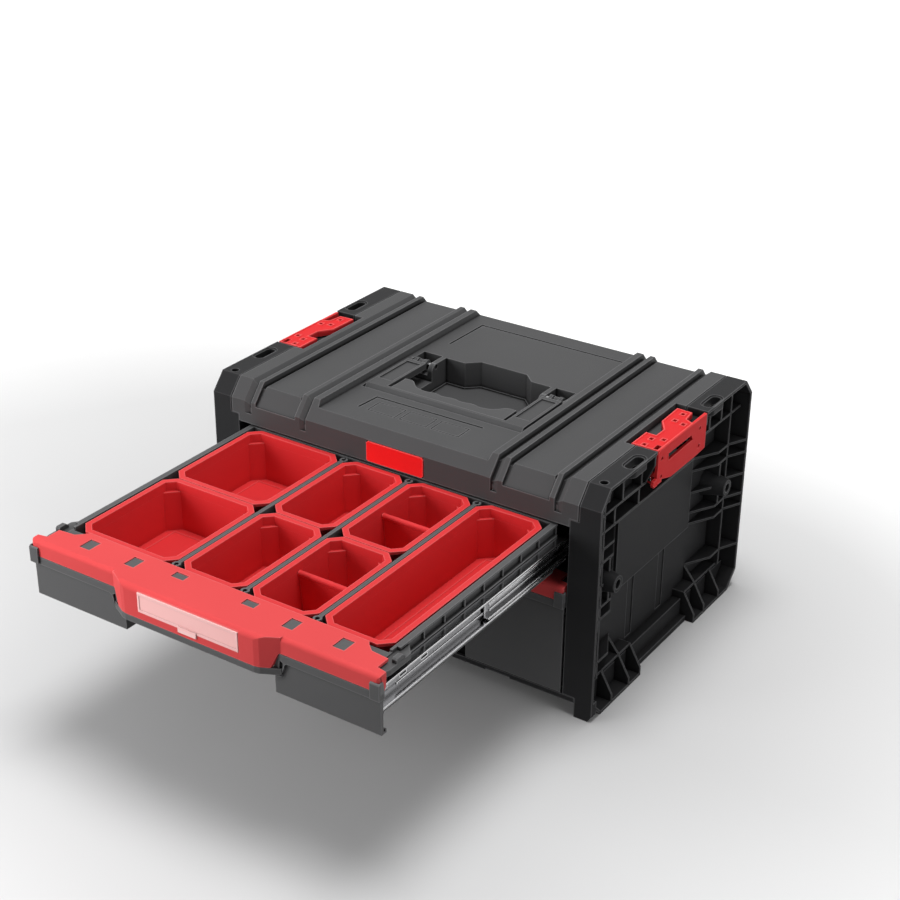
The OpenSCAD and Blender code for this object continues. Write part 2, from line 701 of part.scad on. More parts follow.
module tray(h) {
  top = h - 0.7;
  shelf = h - cap_t - seat;
  // floor, walls of the well and their flange
  difference() {
    box([-tray_out, well_front, floor_z], [tray_out, tray_len, top]);
    box([-tray_in, well_front + tray_wall, floor_z + tray_wall], [tray_in, tray_len - tray_wall, h + 1]);
    // the front wall stays below the cap
    box([-tray_out - 1, well_front - 1, shelf], [tray_out + 1, well_front + tray_wall + 2, h + 1]);
  }
  on_both_sides() {
    box([tray_out - 0.5, 42, top - 2], [tray_out + 3.4, tray_len, top]);
    box([tray_out - 0.5, well_front, h - 13.2], [tray_out + 3.4, tray_len, h - 11.8]);
    for (y = [46 : 30 : tray_len]) box([tray_out - 0.5, y, h - 12], [tray_out + 2.4, y + 1.6, top - 1]);
    // pad that carries the inner slide rail
    box([tray_out - 0.5, 6, h - slide_drop - 8], [rail_pad, tray_len - 2, h - slide_drop + 8]);
    // arm that tapers to the front, and its catch behind the end of the cap
    translate([0, 0, h - 9.5]) linear_extrude(5.5) polygon([
      [tray_out - 0.5, plate_t - 1], [front_hw - 6, plate_t - 1], [front_hw - 2.6, 16],
      [front_hw - 2.6, 44], [tray_out + 3.4, 54], [tray_out - 0.5, 54]]);
    along_x(front_hw - 7.5, front_hw - 2.8) polygon([[25, h - 5], [25, h - 1], [26.5, h + 0.4],
      [33.5, h + 0.4], [36.5, h - 1.6], [37, h - 5]]);
    // brace behind the plate's end, below the slide
    along_x(front_hw - 5, front_hw - 3) polygon([
      [plate_t - 1, 1], [plate_t - 1, h - slide_drop - slide_h / 2 - 0.6],
      [plate_t + 6, h - slide_drop - slide_h / 2 - 0.6], [plate_t + 1, h - slide_drop - slide_h / 2 - 10],
      [plate_t + 1, 1]]);
  }
  // front box either side of the grip recess
  on_both_sides() {
    front_plate(h);
    box([gap_half, 0, 0], [front_hw, 6.5, 1.8]);
    box([front_hw - 14, 5, 0], [front_hw, 6.5, 3.6]);
    box([gap_half, 1, 0], [gap_half + tray_wall, well_front + 1, shelf - 1]);
    box([gap_half, 1, floor_z], [tray_out, well_front + 1, floor_z + tray_wall]);
    box([tray_in, 1, floor_z], [tray_out, well_front + 1, shelf]);
  }
  // shelf under the cap, and its six tabs
  box([-tray_out, grip_back + seat, shelf - 2.5], [tray_out, well_front + 1, shelf]);
  box([-tray_out, grip_back + seat, shelf - 6], [tray_out, grip_back + 3, shelf]);
  on_both_sides() for (i = [0 : 2])
    box([tab_xs[i] - tab_w[i] / 2 + tab_gap, tab_y[i][0] + tab_gap, shelf - 1],
      [tab_xs[i] + tab_w[i] / 2 - tab_gap, tab_y[i][1] - tab_gap, h - 0.6]);
  // lip below the grip
  translate([0, 0, h - grip_drop - seat - lip_h]) linear_extrude(lip_h) difference() {
    polygon(grip_plan(-grip_out, 1, 0));
    polygon(grip_plan(-grip_out + 3.2, 3, -1.4));
  }
}
// front plate with a raised border below the cap and beside the grip, and a nib at the cap's end
module front_plate(h) {
  top = skirt_drop + seat;
  post_top = [grip_edge(top) + 0.4, h - top];
  post_mid = [grip_edge(grip_drop + 0.8) + 0.4, h - grip_drop - 0.8];
  along_y(0, plate_t) polygon([[gap_half, 0], [front_hw, 0], [front_hw, h - top], post_top, post_mid,
    [gap_half, h - grip_drop - 2]]);
  difference() {
    along_y(-border_out, 0.5) polygon([post_top, post_mid, [gap_half + 0.8, h - 37.5], [gap_half + 4, h - 39],
      [gap_half + 8, h - 38], [gap_half + 12.6, h - top - border_h - 1.5],
      [gap_half + 15, h - top - border_h], [front_hw, h - top - border_h], [front_hw, h - top]]);
    // upright slot beside the grip
    along_y(-border_out - 1, -0.4) polygon([[gap_half + 5.9, h - 37], [gap_half + 9, h - 37],
      [gap_half + 11, h - 24], [gap_half + 7.6, h - 22]]);
  }
  // nib in front of the cap, and its return along the cap's end
  box([front_hw - nib_w, -4.4, h - top - border_h + 1], [front_hw, 0.5, h - top]);
  along_x(front_hw - nib_w, front_hw + 1.3) polygon([[-4.4, h - top - 3], [-2.7, h - top - 3],
    [-2.7, h - 6.4], [-4.4, h - 7.6]]);
  along_x(front_hw + seat, front_hw + 1.3) polygon([[-4.4, h - top - border_h + 1],
    [plate_t, h - top - border_h + 1], [plate_t, h - top + 2], [1, h - 6], [-2.7, h - 6], [-4.4, h - 7.6]]);
  box([front_hw - 1, -4.4, h - top - border_h + 1], [front_hw + 1.3, plate_t, h - top - 1]);
}

// edge of the cap, rounded with radius r, seen from the side
function roll(y, z, r) = [for (a = [0 : 15 : 90]) [y + r - r * cos(a), z - r + r * sin(a)]];

module cap(h) {
  out = 2.4;
  skin = 2.2;
  roll_r = 4.4;
  grip_wall = 3.4;
  ear_in = front_hw - 9.5;
  difference() {
    union() {
      // top with its rounded front edge
      difference() {
        along_x(-front_hw, front_hw) polygon(concat([[-out, h - skirt_drop]], roll(-out, h, roll_r),
          [[35, h], [35, h - cap_t], [-out + skin, h - cap_t], [-out + skin, h - skirt_drop]]));
        // cut back at the rear, and rounded at the front corners
        on_both_sides() translate([0, 0, -1]) linear_extrude(h + 2) {
          polygon([[ear_in - 28, 36], [ear_in - 24.4, 31], [ear_in - 17.4, 24.6], [ear_in, 23],
            [ear_in, 8.5], [front_hw + 1, 6.5], [front_hw + 1, 36]]);
          polygon([[front_hw - 3, -out - 1], [front_hw - 3, -out], [front_hw - 1, -out + 0.9],
            [front_hw, -out + 3], [front_hw + 1, -out + 3], [front_hw + 1, -out - 1]]);
        }
      }
      // end cheeks, with a toe behind the front plate
      on_both_sides() along_x(front_hw - 2.2, front_hw) polygon([
        [-out + 3, h - skirt_drop], [plate_t + seat, h - skirt_drop], [plate_t + seat, h - skirt_drop - 3],
        [6, h - skirt_drop + 1], [7, h - 6], [7, h - 1], [-out + roll_r, h - 1], [-out + 3, h - 2]]);
      // grip
      intersection() {
        linear_extrude(h) polygon(grip_plan(-grip_out, grip_back, 0));
        along_x(-front_hw, front_hw) polygon(concat([[-grip_out, h - grip_drop]],
          roll(-grip_out, h, roll_r + 1), [[5, h], [5, h - grip_drop]]));
      }
    }
    // hollow of the grip
    translate([0, 0, -1]) linear_extrude(h - cap_t + 1)
      polygon(grip_plan(-grip_out + grip_wall, 8, -2.2));
    // slanted lower corners of the grip
    on_both_sides() along_y(-grip_out - 1, 5) polygon([
      [grip_edge(grip_drop + 1), h - grip_drop - 1], [grip_edge(skirt_drop), h - skirt_drop],
      [gap_half + 30, h - skirt_drop], [gap_half + 30, h - grip_drop - 1]]);
    // seat of the label
    box([-window_half - 0.3, -grip_out - 1, h - 3.8 - window_h],
      [window_half + 0.3, -grip_out + 2.2, h - 3.2]);
    // holes over the tabs
    on_both_sides() for (i = [0 : 2]) box([tab_xs[i] - tab_w[i] / 2, tab_y[i][0], h - cap_t - 1],
      [tab_xs[i] + tab_w[i] / 2, tab_y[i][1], h + 1]);
  }
}

module label_window(h) {
  z0 = h - 3.5 - window_h;
  difference() {
    union() {
      box([-window_half, -grip_out - 0.4, z0], [window_half, -grip_out + 1.4, h - 3.5]);
      box([-10, -grip_out - clip_out, z0 - 3.5], [10, -grip_out - 0.3, z0 + 2]);
    }
    // thinner field inside the frame of the window
    box([-window_half + 2, -grip_out - 1, z0 + 2.5], [window_half - 2, -grip_out, h - 6]);
  }
}
module label_card(h) {
  box([-window_half + 1, -grip_out + 1.55, h - 2.5 - window_h], [window_half - 1, -grip_out + 1.95, h - 4.5]);
}

upper_y = -hd - travel;
lower_y = -hd;

// bins
bin_z = floor_z + tray_wall + seat;
bin_h = upper_h - 0.9 - bin_z;
well_y0 = well_front + tray_wall + 2;
well_y1 = tray_len - tray_wall - 2;
long_len = well_y1 - well_y0;
bin_len = (long_len - bin_gap) / 2;
bins_w = 2 * (tray_in - bin_side);
wide_bin_w = bins_w - 3 * (bin_w + lane);
column_x0 = [for (i = [0 : 3]) -bins_w / 2 + (i == 0 ? 0 : wide_bin_w + lane + (i - 1) * (bin_w + lane))];

function octagon(w, l, c) = [
  [-w / 2 + c, -l / 2], [w / 2 - c, -l / 2], [w / 2, -l / 2 + c], [w / 2, l / 2 - c],
  [w / 2 - c, l / 2], [-w / 2 + c, l / 2], [-w / 2, l / 2 - c], [-w / 2, -l / 2 + c]];

module frustum(w, l, z0, z1, in0, in1, c) {
  hull() {
    translate([0, 0, z0]) linear_extrude(0.01) polygon(octagon(w - 2 * in0, l - 2 * in0, c));
    translate([0, 0, z1 - 0.01]) linear_extrude(0.01) polygon(octagon(w - 2 * in1, l - 2 * in1, c));
  }
}

bin_floor = 2;
bin_draft = 4;
floor_inset = 2 * (rim_w + bin_draft + 7);
outline_h = 0.3;
module bin_shape(w, l) {
  ledge_z = bin_h - 9;
  difference() {
    union() {
      frustum(w, l, 0, bin_h - 1, 3 + bin_draft, 3, bin_corner - 2);
      translate([0, 0, bin_h - 3]) linear_extrude(3) polygon(octagon(w, l, bin_corner));
    }
    // inside, with fuller corners below a ledge
    frustum(w, l, ledge_z, bin_h + 1, rim_w + 0.7, rim_w, bin_corner - 3);
    frustum(w, l, bin_floor, ledge_z + 0.5, rim_w + bin_draft, rim_w + 0.7, bin_corner + 1);
  }
  // raised outline on the floor
  translate([0, 0, bin_floor - 0.5]) linear_extrude(0.5 + outline_h) difference() {
    square([w - floor_inset, l - floor_inset], center = true);
    square([w - floor_inset - 2.4, l - floor_inset - 2.4], center = true);
  }
}
module bin_at(column, w, row) {
  y0 = row == "front" || row == "long" ? well_y0 : well_y0 + bin_len + bin_gap;
  l = row == "long" ? long_len : bin_len;
  translate([column_x0[column] + w / 2, upper_y + y0 + l / 2, upper_z + bin_z]) bin_shape(w, l);
}
// removable wall across a split bin
module cross_divider(row) {
  y0 = row == "front" ? well_y0 : well_y0 + bin_len + bin_gap;
  top = bin_h - 7;
  x_top = bin_w / 2 - rim_w - 1.3;
  x_low = bin_w / 2 - rim_w - bin_draft - 0.6;
  low = bin_floor + outline_h + seat;
  translate([column_x0[2] + bin_w / 2, upper_y + y0 + bin_len / 2 + 3, upper_z + bin_z]) {
    along_y(-1.1, 1.1) polygon([[-x_low, low], [x_low, low],
      [x_top, top - 2], [-x_top, top - 2]]);
    rotate([0, 90, 0]) translate([-top + 2.8, 0, -x_top]) cylinder(h = 2 * x_top, r = 2.8);
  }
}

module divider_strip(i) {
  x = column_x0[i + 1] - lane / 2;
  strip_t = lane - 2;
  ring_r = 4;
  z0 = upper_z + bin_z;
  z1 = upper_z + upper_h - 1;
  y0 = upper_y + well_y0 + 4;
  y1 = upper_y + well_y1 - 4;
  difference() {
    union() {
      box([x - strip_t / 2, y0, z0], [x + strip_t / 2, y1, z1]);
      for (y = [y0, y1]) translate([x, y, z0]) cylinder(h = z1 - z0, r = ring_r);
    }
    for (y = [y0, y1]) translate([x, y, z0 - 1]) cylinder(h = z1 - z0 + 2, r = 2.1);
    box([x - 0.9, y0 - 6, z0 - 1], [x + 0.9, y0, z1 + 1]);
    box([x - 0.9, y1, z0 - 1], [x + 0.9, y1 + 6, z1 + 1]);
  }
}

// carry handle, folded flat
eye_r = 5;
eye_t = 4;
module carry_handle() color(graphite) placed() {
  bar_back = handle_front - 8;
  difference() {
    union() {
      on_both_sides() {
        box([arm_in, -handle_front, handle_top - handle_t], [handle_half, -1.5, handle_top]);
        // two eyes at the end of each arm
        for (x = [arm_mid - 5.5 - eye_t / 2, arm_mid + 5.5 - eye_t / 2]) {
          translate([x, pivot_y, pivot_z]) rotate([0, 90, 0]) cylinder(h = eye_t, r = eye_r);
          box([x, -3, pivot_z - 4], [x + eye_t, pivot_y, pivot_z + 4]);
        }
      }
      box([-handle_half, -handle_front, handle_top - 9], [handle_half, -bar_back, handle_top]);
    }
    // bevel along the front edge
    along_x(-handle_half - 1, handle_half + 1) polygon([
      [-handle_front - 1, handle_top - 4], [-handle_front, handle_top - 4],
      [-handle_front + 4.5, handle_top], [-handle_front + 4.5, handle_top + 1],
      [-handle_front - 1, handle_top + 1]]);
    // sunk field on each arm
    on_both_sides() box([arm_in + 3, -handle_front + 20, handle_top - 1.2],
      [handle_half - 3, -7, handle_top + 1]);
    on_both_sides() translate([arm_in - 5, pivot_y, pivot_z]) rotate([0, 90, 0])
      cylinder(h = arm_w + 10, r = pin_r + pin_gap);
  }
}

grip_piece_half = arm_in - 4;
grip_front = -handle_front + 8 + seat;
// rear edge of the grip: shallow finger waves that rise to a horn at each end
function horn(x) = let (t = min(1, max(0, (abs(x) - 42) / 16))) t * t * (3 - 2 * t);
function finger_edge(x) = grip_front + 12.5 + 13 * horn(x) + 0.9 * cos(360 * x / 22) * (1 - horn(x));
module handle_grip() color(graphite) placed() {
  steps = 48;
  translate([0, 0, handle_top - 9]) linear_extrude(8.4) polygon(concat(
    [[-grip_piece_half, grip_front], [grip_piece_half, grip_front]],
    [for (i = [0 : steps]) let (x = grip_piece_half * (1 - 2 * i / steps)) [x, finger_edge(x)]]));
  // pegs that seat the grip against the arms
  on_both_sides() box([grip_piece_half - 1, grip_front + 2, handle_top - 6],
    [arm_in - seat, grip_front + 10, handle_top - 3]);
}

// stacking latch, drawn for the right side
latch_low = case_h - 39;
arm_tip = cover_hw - 5.2;
latch_t = 3;
knuckle_r = 4.2;
module stacking_latch() {
  arm_z0 = case_h - 6.5;
  arm_z1 = case_h - 0.8;
  difference() {
    union() {
      // side plate with a tab at its lower front corner, and top arm with two prongs
      along_x(hw - latch_t, hw) polygon([
        [-latch_half, latch_low + 9.5], [-latch_half - 6, latch_low + 8.7], [-latch_half - 7.6, latch_low + 5.5],
        [-latch_half - 5.5, latch_low + 2.2], [-latch_half, latch_low + 2.2],
        [-latch_half + 10.5, latch_low + 5.4], [-latch_half + 28, latch_low], [latch_half - 21, latch_low],
        [latch_half, latch_low + 1.4], [latch_half, arm_z1], [latch_half - 8, arm_z1],
        [-latch_half + 3, arm_z1], [-latch_half, arm_z1 - 3]]);
      translate([0, 0, arm_z0]) linear_extrude(arm_z1 - arm_z0) polygon([
        [hw - 1, -latch_half], [arm_tip, -latch_half], [arm_tip, -20.5], [arm_tip + 2, -21.4],
        [arm_tip + 11, -21.4], [arm_tip + 11, -6.3], [arm_tip + 1, 8.7], [arm_tip, 43],
        [arm_tip + 17, 42], [arm_tip + 19, 25.8], [hw - latch_t, 21], [hw - 1, 21]]);
      // knuckles round the pin
      for (y = [-latch_half + 2, -lug_y + 1.5, lug_y + lug_t + 1.5]) {
        len = y == -lug_y + 1.5 ? 2 * lug_y - 3 : latch_half - lug_y - lug_t - 3.5;
        translate([latch_pin_x, y + len, latch_pin_z]) rotate([90, 0, 0]) cylinder(h = len, r = knuckle_r);
        box([latch_pin_x, y, latch_pin_z - knuckle_r], [hw - 1, y + len, latch_pin_z + knuckle_r]);
      }
    }
    // window at the front, and the pull slot
    box([hw - latch_t - 4.6, -latch_half + 1.6, arm_z0 - 1], [hw - latch_t, -latch_half + 12, case_h]);
    along_x(hw - latch_t - 1, hw + 1) polygon([[-29, case_h - 11.4], [-28.5, case_h - 18.8],
      [21.5, case_h - 17.4], [18.3, case_h - 11.6]]);
    // pits
    for (p = [[11, 33.7], [11, 16.9], [21.5, 13.5], [21.5, -26.3], [11, -30.9], [11, -45]])
      translate([arm_tip + p.x, p.y, 0])
        box([-1.8, -2.2, arm_z1 - 1.8], [1.8, 2.2, case_h]);
    for (y = [-42, 36], z = [case_h - 11, case_h - 30])
      box([hw - 1.4, y - 2.2, z - 1.7], [hw + 1, y + 2.2, z + 1.7]);
    translate([latch_pin_x, latch_half + 1, latch_pin_z]) rotate([90, 0, 0])
      cylinder(h = 2 * latch_half + 2, r = latch_pin_r + pin_gap);
  }
}

module upper(y) {
  translate([0, y, upper_z]) children();
}
module lower(y) {
  translate([0, y, lower_z]) children();
}

module left_side_panel() color(graphite) placed() mirror([1, 0, 0]) side_panel();
module right_side_panel() color(graphite) placed() side_panel();
module left_latch_pin() color(zinc) placed() mirror([1, 0, 0]) latch_pin();
module right_latch_pin() color(zinc) placed() latch_pin();
module upper_left_outer_rail() color(zinc) placed() mirror([1, 0, 0]) outer_rail(upper_slide_z);
module upper_right_outer_rail() color(zinc) placed() outer_rail(upper_slide_z);
module lower_left_outer_rail() color(zinc) placed() mirror([1, 0, 0]) outer_rail(lower_slide_z);
module lower_right_outer_rail() color(zinc) placed() outer_rail(lower_slide_z);
module upper_left_middle_rail() color(zinc) placed()
  mirror([1, 0, 0]) middle_rail(upper_slide_z, middle_y0 - travel / 2);
module upper_right_middle_rail() color(zinc) placed() middle_rail(upper_slide_z, middle_y0 - travel / 2);
module lower_left_middle_rail() color(zinc) placed()
  mirror([1, 0, 0]) middle_rail(lower_slide_z, middle_y0);
module lower_right_middle_rail() color(zinc) placed() middle_rail(lower_slide_z, middle_y0);
module upper_tray() color(graphite) placed() upper(upper_y) tray(upper_h);
module upper_cap() color(signal_red) placed() upper(upper_y) cap(upper_h);
module upper_label_window() color(pale_pink) placed() upper(upper_y) label_window(upper_h);
module upper_label_card() color(card_white) placed() upper(upper_y) label_card(upper_h);
module upper_left_ball_cages() color(zinc) placed()
  mirror([1, 0, 0]) ball_cages(upper_slide_z, middle_y0 - travel / 2);
module upper_left_inner_rail() color(zinc) placed() mirror([1, 0, 0]) inner_rail(upper_slide_z, upper_y);
module upper_right_ball_cages() color(zinc) placed() ball_cages(upper_slide_z, middle_y0 - travel / 2);
module upper_right_inner_rail() color(zinc) placed() inner_rail(upper_slide_z, upper_y);
module left_divider_strip() color(graphite) placed() divider_strip(0);
module middle_divider_strip() color(graphite) placed() divider_strip(1);
module right_divider_strip() color(graphite) placed() divider_strip(2);
module lower_tray() color(graphite) placed() lower(lower_y) tray(lower_h);
module lower_cap() color(signal_red) placed() lower(lower_y) cap(lower_h);
module lower_label_window() color(pale_pink) placed() lower(lower_y) label_window(lower_h);
module lower_label_card() color(card_white) placed() lower(lower_y) label_card(lower_h);
module lower_left_ball_cages() color(zinc) placed()
  mirror([1, 0, 0]) ball_cages(lower_slide_z, middle_y0);
module lower_left_inner_rail() color(zinc) placed() mirror([1, 0, 0]) inner_rail(lower_slide_z, lower_y);
module lower_right_ball_cages() color(zinc) placed() ball_cages(lower_slide_z, middle_y0);
module lower_right_inner_rail() color(zinc) placed() inner_rail(lower_slide_z, lower_y);
module wide_bin_rear() color(bin_red) placed() bin_at(0, wide_bin_w, "rear");
module wide_bin_front() color(bin_red) placed() bin_at(0, wide_bin_w, "front");
module middle_bin_rear() color(bin_red) placed() bin_at(1, bin_w, "rear");
module middle_bin_front() color(bin_red) placed() bin_at(1, bin_w, "front");
module split_bin_rear() color(bin_red) placed() bin_at(2, bin_w, "rear");
module split_bin_front() color(bin_red) placed() bin_at(2, bin_w, "front");
module long_bin() color(bin_red) placed() bin_at(3, bin_w, "long");
module rear_cross_divider() color(bin_red) placed() cross_divider("rear");
module front_cross_divider() color(bin_red) placed() cross_divider("front");
module left_latch() color(signal_red) placed() mirror([1, 0, 0]) stacking_latch();
module right_latch() color(signal_red) placed() stacking_latch();

left_side_panel();
right_side_panel();
top_cover();
base_plate();
rear_panel();
front_label_plate();
handle_pins();
left_latch_pin();
right_latch_pin();
case_screws();
upper_left_outer_rail();
upper_right_outer_rail();
lower_left_outer_rail();
lower_right_outer_rail();
upper_left_middle_rail();
upper_right_middle_rail();
lower_left_middle_rail();
lower_right_middle_rail();
upper_tray();
upper_cap();
upper_label_window();
upper_label_card();
upper_left_ball_cages();
upper_left_inner_rail();
upper_right_ball_cages();
upper_right_inner_rail();
left_divider_strip();
middle_divider_strip();
right_divider_strip();
lower_tray();
lower_cap();
lower_label_window();
lower_label_card();
lower_left_ball_cages();
lower_left_inner_rail();
lower_right_ball_cages();
lower_right_inner_rail();
wide_bin_rear();
wide_bin_front();
middle_bin_rear();
middle_bin_front();
split_bin_rear();
split_bin_front();
long_bin();
rear_cross_divider();
front_cross_divider();
carry_handle();
handle_grip();
left_latch();
right_latch();
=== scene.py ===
import math
import bmesh
import bpy
from mathutils import Matrix, Vector


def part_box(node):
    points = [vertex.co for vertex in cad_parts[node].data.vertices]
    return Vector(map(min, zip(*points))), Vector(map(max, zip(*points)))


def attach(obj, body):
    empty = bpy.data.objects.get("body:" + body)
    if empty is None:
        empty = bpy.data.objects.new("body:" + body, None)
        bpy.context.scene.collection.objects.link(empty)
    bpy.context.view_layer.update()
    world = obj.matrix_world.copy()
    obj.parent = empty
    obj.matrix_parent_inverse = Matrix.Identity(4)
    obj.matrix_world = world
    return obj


# a two-drawer toolbox in graphite plastic with red parts, its upper drawer pulled out over a pale floor
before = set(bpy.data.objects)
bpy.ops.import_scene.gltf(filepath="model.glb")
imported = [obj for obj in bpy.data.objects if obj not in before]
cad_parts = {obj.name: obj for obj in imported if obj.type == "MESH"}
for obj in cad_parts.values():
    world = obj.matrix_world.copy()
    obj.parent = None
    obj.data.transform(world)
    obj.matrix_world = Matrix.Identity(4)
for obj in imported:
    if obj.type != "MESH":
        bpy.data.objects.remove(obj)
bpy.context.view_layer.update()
shiftY = 0.1491  # the case's middle stands this far behind the middle of the whole part
print("frame loaded,", len(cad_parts), "nodes")


class Signal:  # an output socket, so that shader maths reads as Python
    def __init__(self, tree, out):
        self.tree = tree
        self.out = out

    def maths(self, operation, first, second=None):
        node = self.tree.nodes.new("ShaderNodeMath")
        node.operation = operation
        for socket, value in zip(node.inputs, (first, second)):
            plug(self.tree, socket, value)
        return Signal(self.tree, node.outputs[0])

    def __add__(self, other):
        return self.maths("ADD", self, other)

    def __sub__(self, other):
        return self.maths("SUBTRACT", self, other)

    def __rsub__(self, other):
        return self.maths("SUBTRACT", other, self)

    def __mul__(self, other):
        return self.maths("MULTIPLY", self, other)

    def __truediv__(self, other):
        return self.maths("DIVIDE", self, other)

    def __pow__(self, other):
        return self.maths("POWER", self, other)

    __radd__ = __add__

    def size(self):
        return self.maths("ABSOLUTE", self)

    def atLeast(self, low):
        return self.maths("MAXIMUM", self, low)

    def clamped(self):
        return self.maths("MINIMUM", self, 1.0).atLeast(0.0)


def plug(tree, socket, value):
    if isinstance(value, Signal):
        tree.links.new(value.out, socket)
    elif value is not None:
        socket.default_value = value


class Finish:  # a material that is being built
    def __init__(self, name):
        self.material = bpy.data.materials.new(name)
        self.material.use_nodes = True
        self.tree = self.material.node_tree
        self.tree.nodes.clear()
        self.end = self.tree.nodes.new("ShaderNodeOutputMaterial")

    def node(self, kind, settings=None, out=0, **sockets):  # a socket is named with _ for each space
        node = self.tree.nodes.new("ShaderNode" + kind)
        for key, value in (settings or {}).items():
            if key == "stops":
                ramp = node.color_ramp
                while len(ramp.elements) < len(value):
                    ramp.elements.new(0.5)
                for element, (place, color) in zip(ramp.elements, value):
                    element.position, element.color = place, color
            else:
                setattr(node, key, value)
        for key, value in sockets.items():
            name = key.replace("_", " ")
            socket = next(s for s in node.inputs if s.name == name and s.enabled)
            plug(self.tree, socket, value)
        outputs = [s for s in node.outputs if s.enabled]
        return Signal(self.tree, node.outputs[out] if isinstance(out, str) else outputs[out])

    def place(self):
        return self.node("TexCoord", out="Object")

    def noise(self, scale, detail=3.0, roughness=0.55):
        return self.node("TexNoise", Vector=self.place(), Scale=scale, Detail=detail, Roughness=roughness)

    def blended(self, factor, first, second):
        return self.node("MixRGB", Fac=factor, Color1=first, Color2=second)

    def closeness(self, reach, inward):  # how much of the same piece lies within reach of a point
        settings = {"inside": inward, "only_local": True, "samples": 12}
        return 1.0 - self.node("AmbientOcclusion", settings, out="AO", Distance=reach)

    def edges(self, reach, gain):  # 1 along the outer edges, 0 on the flats
        return (self.closeness(reach, True) * gain).clamped()

    def hollows(self, reach, gain):  # 1 down in grooves and inner corners, 0 in the open
        return (self.closeness(reach, False) * gain).clamped()

    def bumped(self, height, strength, distance, radius):
        rounded = self.node("Bevel", {"samples": 6}, Radius=radius)
        return self.node("Bump", Strength=strength, Distance=distance, Height=height, Normal=rounded)

    def surface(self, **sockets):
        shader = self.node("BsdfPrincipled", **sockets)
        self.tree.links.new(shader.out, self.end.inputs["Surface"])
        return self.material


def tint(red, green, blue):
    return (red, green, blue, 1.0)


def mouldedPlastic(name, look):
    f = Finish(name)
    cloud = f.noise(look["cloudScale"], detail=2.0)
    grain = f.noise(look["grainScale"], detail=4.0, roughness=0.6)
    edge = f.edges(look["edgeReach"], look["edgeGain"])
    hollow = f.hollows(look["hollowReach"], look["hollowGain"])
    body = f.blended(cloud, look["dark"], look["light"])
    # painted shade: grooves and inner corners are darkened towards the hollows' colour
    shadedBody = f.blended(hollow * look["hollowMix"], body, look["deep"])
    # painted highlight: outer edges are lightened towards the edge colour
    highlightedBody = f.blended(edge * look["edgeMix"], shadedBody, look["edge"])
    rough = look["rough"] + (grain - 0.5) * look["roughSpread"] - edge * look["edgeShine"]
    return f.surface(Base_Color=highlightedBody, Roughness=rough, Specular_IOR_Level=look["specular"],
                     Normal=f.bumped(grain, look["grainDepth"], look["grainHeight"], look["soften"]))


# lengths such as edgeReach are in metres, and mixes and gains are plain shares; in every look the edge colour
# is a painted highlight along outer edges, and the colour for grooves and inner corners is painted shade
# painted shade: the case's graphite is a darker, shaded copy of the cover's graphite, for the side panels,
# base plate and rear panel
shadedCaseLook = {
    "dark": tint(0.020, 0.020, 0.021), "light": tint(0.026, 0.026, 0.027), "edge": tint(0.20, 0.20, 0.205),
    "cloudScale": 9.0, "grainScale": 2400.0, "grainDepth": 0.22, "grainHeight": 0.0004, "rough": 0.50,
    "roughSpread": 0.10,
    "edgeReach": 0.0013, "edgeGain": 1.6, "edgeMix": 0.62, "edgeShine": 0.12, "specular": 0.06,
    "deep": tint(0.006, 0.006, 0.006), "hollowReach": 0.006, "hollowGain": 1.4, "hollowMix": 0.85,
    "soften": 0.0006}
coverLook = dict(shadedCaseLook, dark=tint(0.060, 0.060, 0.061), light=tint(0.071, 0.071, 0.073),
                 edge=tint(0.22, 0.22, 0.225), edgeMix=0.70, specular=0.12, hollowReach=0.0035, hollowGain=2.4)
# painted light: the trays' graphite is a lighter, lit copy of the same graphite, for the drawer trays and
# their strips
litTrayLook = dict(shadedCaseLook, dark=tint(0.076, 0.076, 0.077), light=tint(0.088, 0.088, 0.090), edgeMix=0.60,
                rough=0.46, specular=0.20)
gripLook = dict(coverLook, dark=tint(0.070, 0.070, 0.071), light=tint(0.082, 0.082, 0.084), rough=0.55)
redLook = {
    "dark": tint(0.63, 0.061, 0.063), "light": tint(0.71, 0.072, 0.074), "edge": tint(0.98, 0.28, 0.28),
    "cloudScale": 11.0, "grainScale": 2800.0, "grainDepth": 0.10, "grainHeight": 0.0004, "rough": 0.50,
    "roughSpread": 0.06,
    "edgeReach": 0.0011, "edgeGain": 1.5, "edgeMix": 0.45, "edgeShine": 0.08, "specular": 0.12,
    "deep": tint(0.30, 0.010, 0.011), "hollowReach": 0.008, "hollowGain": 1.0, "hollowMix": 0.6,
    "soften": 0.0007}
labelLook = dict(redLook, dark=tint(0.88, 0.016, 0.018), light=tint(0.93, 0.020, 0.022), rough=0.28)
latchLook = dict(redLook, dark=tint(0.68, 0.027, 0.030), light=tint(0.75, 0.034, 0.037),
                 edge=tint(0.95, 0.15, 0.15), edgeMix=0.6, specular=0.05)
binLook = dict(redLook, dark=tint(0.60, 0.028, 0.031), light=tint(0.68, 0.037, 0.041), rough=0.44,
               specular=0.16)
windowLook = dict(redLook, dark=tint(0.97, 0.50, 0.48), light=tint(1.0, 0.56, 0.54),
                  edge=tint(1.0, 0.86, 0.85), rough=0.22, grainDepth=0.03, specular=0.4)
cardLook = dict(redLook, dark=tint(0.84, 0.80, 0.76), light=tint(0.90, 0.87, 0.84),
                edge=tint(0.93, 0.91, 0.89), rough=0.75, grainScale=900.0)
